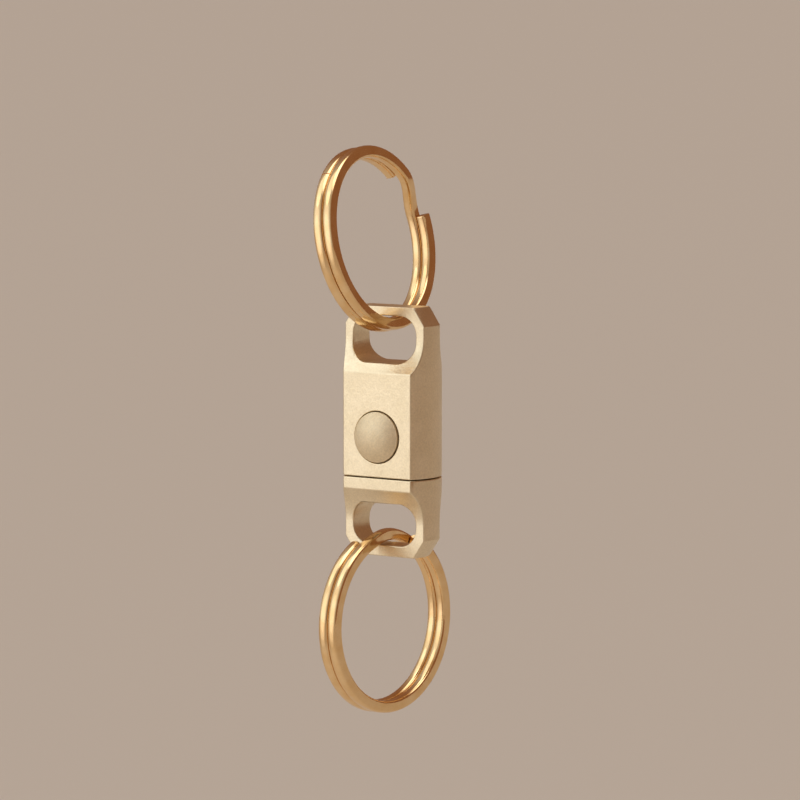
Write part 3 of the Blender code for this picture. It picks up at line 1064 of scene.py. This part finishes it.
@dataclass
class ButtonSpring:
    """The conical coil behind the button."""

    node: str = "button_spring"
    body: str = "upper_half"
    wire: float = 0.12 * MM
    wide: float = 2.1 * MM
    narrow: float = 1.15 * MM
    coils: float = 2.25
    seat_gap: float = 0.05 * MM
    button_back: float = 1.75 * MM
    steps: int = 160
    round_steps: int = 4
    latch: Latch = Latch()

    def seated(self) -> Vector:
        """The middle of the spring's wide end, which stays where it is."""
        return Vector((0, self.latch.bore_back - self.seat_gap, self.latch.button_height))

    def keep(self) -> float:
        """The share of its length that the spring keeps when the button is right in."""
        free = self.latch.bore_back - self.button_back - 2 * self.seat_gap
        return (free - self.latch.travel) / free

    def build(self) -> Piece:
        """Models the spring.

        Returns:
            The piece.
        """
        latch = self.latch
        inset = self.seat_gap + self.wire
        start, stop = latch.bore_back - inset, self.button_back + inset
        points = []
        for step in range(self.steps + 1):
            share = step / self.steps
            angle = math.tau * self.coils * share
            radius = self.wide + (self.narrow - self.wide) * share
            x, z = radius * math.cos(angle), radius * math.sin(angle)
            points.append(Vector((x, start + (stop - start) * share, z + latch.button_height)))
        drawn = Wire.curve(self.node + "_shape", points, False)
        drawn.data.bevel_depth = self.wire
        drawn.data.bevel_resolution = self.round_steps
        spring = Wire.solid(drawn)
        Bench.smooth(spring)
        return spring


@dataclass
class SplitRing:
    """Two turns of wire that cross over beside the wire's own ends."""

    node: str
    body: str
    yaw: float
    lean: float
    roll: float
    crossing: float
    outer: float = 10.1 * MM
    depth: float = 1.35 * MM
    width: float = 1.19 * MM
    edge_deep: float = 0.28 * MM
    crown_wide: float = 0.54 * MM
    turn_gap: float = 0.06 * MM
    end_gap: float = 0.16 * MM
    end_edge: float = 0.08 * MM
    steps: int = 240
    crossing_steps: int = 40
    corner_steps: int = 9
    end_steps: int = 2
    nick_at: float | None = None
    nick_wide: float = 0.11 * MM
    nick_deep: float = 0.20 * MM

    def path(self) -> list[Vector]:
        """Draws the wire's centre line.

        Returns:
            Its points, in the ring's plane XY and along its axis Z.
        """
        radius = self.outer - self.depth / 2
        end = self.end_gap / radius
        first, last = math.tau - self.crossing, math.tau
        stop = last + first - end
        angles = [end + (first - end) * step / self.steps for step in range(self.steps)]
        share = self.crossing / self.crossing_steps
        angles += [first + share * step for step in range(self.crossing_steps)]
        angles += [last + (stop - last) * step / self.steps for step in range(self.steps + 1)]
        offset = (self.width + self.turn_gap) / 2
        points = []
        for angle in angles:
            crossed = min(max((angle - first) / self.crossing, 0), 1)
            along = -offset * math.cos(math.pi * crossed)
            points.append(Vector((radius * math.cos(angle), radius * math.sin(angle), along)))
        return points

    def section(self) -> Piece:
        """Draws the wire's section, with flat sides and crowned rims.

        Returns:
            The outline, radially in X and along the ring's axis in Y.
        """
        across = self.depth / 2 - self.edge_deep
        along = self.width / 2 - self.crown_wide
        corners = ((across, along), (-across, along), (-across, -along), (across, -along))
        points = []
        for quarter, (x, y) in enumerate(corners):
            start = quarter * math.pi / 2
            for c, s in arc((0, 0), 1, start, start + math.pi / 2, self.corner_steps):
                points.append(Vector((x + self.edge_deep * c, y + self.crown_wide * s, 0)))
        return Wire.curve(self.node + "_section", points, True)

    def nick(self) -> Piece:
        """Makes a cutter for the fine line across one turn's side and rim.

        Returns:
            The cutter.
        """
        over = self.depth / 2
        side = -self.width - self.turn_gap / 2
        low, rim = side - over, self.outer + over
        bottom, floor = side + self.nick_deep, self.outer - self.nick_deep
        inner = self.outer - self.depth - over
        corners = (
            (inner, low),
            (rim, low),
            (rim, -self.turn_gap / 2),
            (floor, -self.turn_gap / 2),
            (floor, bottom),
            (inner, bottom),
        )
        points = [Vector((radius, -self.nick_wide / 2, along)) for radius, along in corners]
        cutter = Bench.prism("nick", points, Vector((0, self.nick_wide, 0)))
        cutter.data.transform(Matrix.Rotation(self.roll - self.nick_at, 4, "Z"))
        return cutter

    def hang(self) -> Matrix:
        """Turns an upright ring, its axis along X, to the way it hangs."""
        return Euler((0, -self.lean, self.yaw), "XYZ").to_matrix()

    def build(self) -> Piece:
        """Models the ring about its own centre, as it hangs.

        Returns:
            The piece.
        """
        section = self.section()
        drawn = Wire.curve(self.node + "_shape", self.path(), False)
        drawn.data.bevel_mode = "OBJECT"
        drawn.data.bevel_object = section
        ring = Wire.solid(drawn)
        bpy.data.objects.remove(section, do_unlink=True)
        Bench.break_edges(ring, self.end_edge, lambda middle: 1.0, self.end_steps)
        if self.nick_at is not None:
            Bench.cut(ring, self.nick())
        drawn_axes = (Vector((0, -1, 0)), Vector((0, 0, -1)), Vector((1, 0, 0)))
        stand = Matrix(drawn_axes).transposed()
        turn = self.hang() @ Matrix.Rotation(-self.roll, 3, "X") @ stand
        ring.data.transform(turn.to_4x4())
        Bench.smooth(ring)
        return ring

    def finish(self, centre: Vector) -> DrawnWire:
        """The ring's finish, with its drawing lines centred on the ring."""
        return DrawnWire(self.node + "_gold", tuple(centre), (0, -self.lean, self.yaw))


# Studio


def toward(azimuth: float, elevation: float) -> Vector:
    """Gives a direction.

    Args:
        azimuth: Its angle from -Y towards +X, in degrees.
        elevation: Its angle upwards, in degrees.

    Returns:
        The direction, one metre long.
    """
    turn, rise = math.radians(azimuth), math.radians(elevation)
    flat = math.cos(rise)
    return Vector((math.sin(turn) * flat, -math.cos(turn) * flat, math.sin(rise)))


def aim(placed: Piece, target: Vector, way: Vector, distance: float) -> None:
    """Places a lamp or a camera so that it faces a point.

    Args:
        placed: The lamp or the camera.
        target: The point.
        way: The direction from the point to the lamp or camera.
        distance: How far away it is.
    """
    placed.location = target + distance * way
    placed.rotation_euler = way.to_track_quat("Z", "Y").to_euler()
    bpy.context.scene.collection.objects.link(placed)


@dataclass(frozen=True)
class Lamp:
    """A round soft lamp that faces the clip, placed by two angles in degrees."""

    name: str
    azimuth: float
    elevation: float
    distance: float
    size: float
    radiance: float

    def hang(self, target: Vector) -> None:
        """Hangs the lamp.

        Args:
            target: The point that it faces.
        """
        lamp = bpy.data.lights.new(self.name, "AREA")
        lamp.shape = "DISK"
        lamp.size = self.size
        lamp.energy = self.radiance * math.pi * math.pi * (self.size / 2) ** 2
        placed = bpy.data.objects.new(self.name, lamp)
        aim(placed, target, toward(self.azimuth, self.elevation), self.distance)


@dataclass(frozen=True)
class Glow:
    """A pale part of the room round a direction, full inside one cosine and gone at another."""

    colour: Triple
    azimuth: float
    elevation: float
    full: float
    gone: float


@dataclass
class Studio:
    """A pale floor, a room that is pale in front and overhead, soft lamps and the camera."""

    floor_drop: float = 0.30
    floor_size: float = 300.0
    azimuth: float = 33.80
    elevation: float = 6.88
    distance: float = 450 * MM
    focal_px: float = 4140.0
    picture_px: float = 800.0
    sensor_mm: float = 36.0
    centre_px: Pair = (392.59, 474.76)
    clip_start: float = 10 * MM
    floor_colour: Triple = (0.70, 0.64, 0.57)
    floor_rough: float = 0.9
    shade: Triple = (0.25, 0.125, 0.07)
    front: Glow = Glow((0.54, 0.53, 0.51), -45.0, 15.0, 0.80, 0.10)
    ceiling: Glow = Glow((2.2, 2.15, 2.05), 0.0, 90.0, 0.96, 0.87)
    lamps: tuple[Lamp, ...] = (
        Lamp("key_core", -36.0, 8.0, 0.60, 0.44, 0.26),
        Lamp("key_middle", -36.0, 10.0, 0.60, 0.70, 0.27),
        Lamp("key_edge", -36.0, 12.0, 0.60, 0.98, 0.24),
        Lamp("upper", -62.0, 52.0, 0.60, 0.44, 0.74),
    )

    def floor(self, low: float) -> None:
        """Lays the floor.

        Args:
            low: The height of the clip's lowest point.
        """
        Bench.clear()
        bpy.ops.mesh.primitive_plane_add(size=self.floor_size, location=(0, 0, low - self.floor_drop))
        plane = bpy.context.object
        plane.name = "floor"
        nodes = Nodes(bpy.data.materials.new("pale_floor"))
        nodes.shader.inputs["Base Color"].default_value = (*self.floor_colour, 1)
        nodes.shader.inputs["Roughness"].default_value = self.floor_rough
        plane.data.materials.append(nodes.owner)
        plane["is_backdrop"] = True

    def world(self) -> None:
        """Lights the room: shaded and warm all round, pale in front of the clip and overhead."""
        nodes = Nodes(bpy.data.worlds.new("room"))
        where = nodes.add("ShaderNodeTexCoord").outputs["Generated"]
        colour: Socket | None = None
        for glow in (self.front, self.ceiling):
            facing = nodes.add("ShaderNodeVectorMath", operation="DOT_PRODUCT")
            facing.inputs[1].default_value = toward(glow.azimuth, glow.elevation)
            nodes.link(where, facing.inputs[0])
            ends = {"in_from_min": glow.gone, "in_from_max": glow.full}
            share = nodes.add("ShaderNodeMapRange", interpolation_type="SMOOTHSTEP", **ends)
            nodes.link(facing.outputs["Value"], share.inputs["Value"])
            sides = {"in_a": (*self.shade, 1), "in_b": (*glow.colour, 1)}
            mix = nodes.add("ShaderNodeMix", data_type="RGBA", **sides)
            nodes.link(share.outputs["Result"], mix.inputs["Factor"])
            if colour is not None:
                nodes.link(colour, mix.inputs["A"])
            colour = mix.outputs["Result"]
        nodes.link(colour, nodes.tree.nodes["Background"].inputs["Color"])
        bpy.context.scene.world = nodes.owner

    def camera(self, target: Vector) -> None:
        """Sets the camera up as the photograph was taken.

        Args:
            target: The point that it faces.
        """
        camera = bpy.data.cameras.new("camera")
        camera.sensor_width = self.sensor_mm
        camera.lens = self.focal_px / self.picture_px * self.sensor_mm
        middle = self.picture_px / 2
        camera.shift_x = (middle - self.centre_px[0]) / self.picture_px
        camera.shift_y = (self.centre_px[1] - middle) / self.picture_px
        camera.clip_start = self.clip_start
        placed = bpy.data.objects.new("camera", camera)
        aim(placed, target, toward(self.azimuth, self.elevation), self.distance)
        bpy.context.scene.camera = placed
        bpy.context.scene.view_settings.view_transform = "Standard"

    def build(self, target: Vector, low: float) -> None:
        """Sets up the whole studio.

        Args:
            target: The point that the camera and the lamps face.
            low: The height of the clip's lowest point.
        """
        self.world()
        self.floor(low)
        for lamp in self.lamps:
            lamp.hang(target)
        self.camera(target)


class KeyClip:
    """The whole clip, built piece by piece."""

    def __init__(self) -> None:
        """Takes the clip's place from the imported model."""
        low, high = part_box("upper_body")
        self.origin = Vector(((low.x + high.x) / 2, (low.y + high.y) / 2, low.z))

    def finishes(self) -> dict[str, bpy.types.Material]:
        """Makes the finishes that pieces share.

        Returns:
            The materials by name.
        """
        satin = BlastedBrass("satin_brass", (0.88, 0.76, 0.545), (0.83, 0.71, 0.495), 0.30, 0.40)
        rubbed = BlastedBrass("rubbed_brass", (0.91, 0.76, 0.52), (0.88, 0.72, 0.47), 0.18, 0.28)
        button = BlastedBrass("button_brass", (0.87, 0.745, 0.53), (0.82, 0.695, 0.48), 0.55, 0.64)
        steel = BlastedBrass("turned_steel", (0.60, 0.60, 0.60), (0.52, 0.52, 0.53), 0.22, 0.34)
        return {made.name: made.build() for made in (satin, rubbed, button, steel)}

    def ring(self, ring: SplitRing, edge: bpy.types.Material) -> None:
        """Builds, dresses and installs one split ring.

        Args:
            ring: The ring.
            edge: The finish of its broken edges.
        """
        low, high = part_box(ring.node)
        centre = (low + high) / 2
        piece = ring.build()
        Bench.dress(piece, ring.finish(centre).build(), edge)
        piece.name = ring.node + "_wire"
        Bench.install(piece, centre, ring.node, ring.body, Slot.GOLD)

    def build(self) -> None:
        """Builds every piece in order."""
        made = self.finishes()
        brass = (made["satin_brass"], made["rubbed_brass"])
        steel = (made["turned_steel"],)
        upper, lower, button, plug = UpperBody(), LowerBody(), ReleaseButton(), Plug()
        pin, spring = RetainingPin(), ButtonSpring()
        for part, piece, name, dress, slot in (
            (upper, upper.build(), "upper_half_bar", brass, Slot.BRASS),
            (lower, lower.build(plug.seat(), plug.sides), "lower_half_bar", brass, Slot.BRASS),
            (button, button.build(), "push_button", (made["button_brass"],), Slot.BRASS),
            (plug, plug.build(), "staked_plug", steel, Slot.STEEL),
            (pin, pin.build(), "dowel_pin", steel, Slot.STEEL),
            (spring, spring.build(), "conical_spring", steel, Slot.STEEL),
        ):
            piece.name = name
            Bench.dress(piece, *dress)
            Bench.install(piece, self.origin, part.node, part.body, slot)
            if part is spring:
                seat = self.origin + spring.seated()
                spring.keep()
                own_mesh(piece)
        edge = made["rubbed_brass"]
        upper_ring = SplitRing(
            "upper_split_ring",
            "holding_ring",
            yaw=math.radians(1.0),
            lean=math.radians(11.2),
            roll=math.radians(133.5),
            crossing=math.radians(33.0),
            nick_at=math.radians(48.0),
        )
        lower_ring = SplitRing(
            "lower_split_ring",
            "hanging_ring",
            yaw=math.radians(-5.25),
            lean=math.radians(0.6),
            roll=math.radians(66.0),
            crossing=math.radians(50.0),
        )
        self.ring(upper_ring, edge)
        self.ring(lower_ring, edge)


def main() -> None:
    """Loads the frame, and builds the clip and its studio."""
    logging.basicConfig(level=logging.INFO, format="%(message)s")
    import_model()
    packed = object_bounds()
    clip = KeyClip()
    clip.build()
    Studio().build(clip.origin, min(corner[2] for corner in packed))


if __name__ == "__main__":
    main()
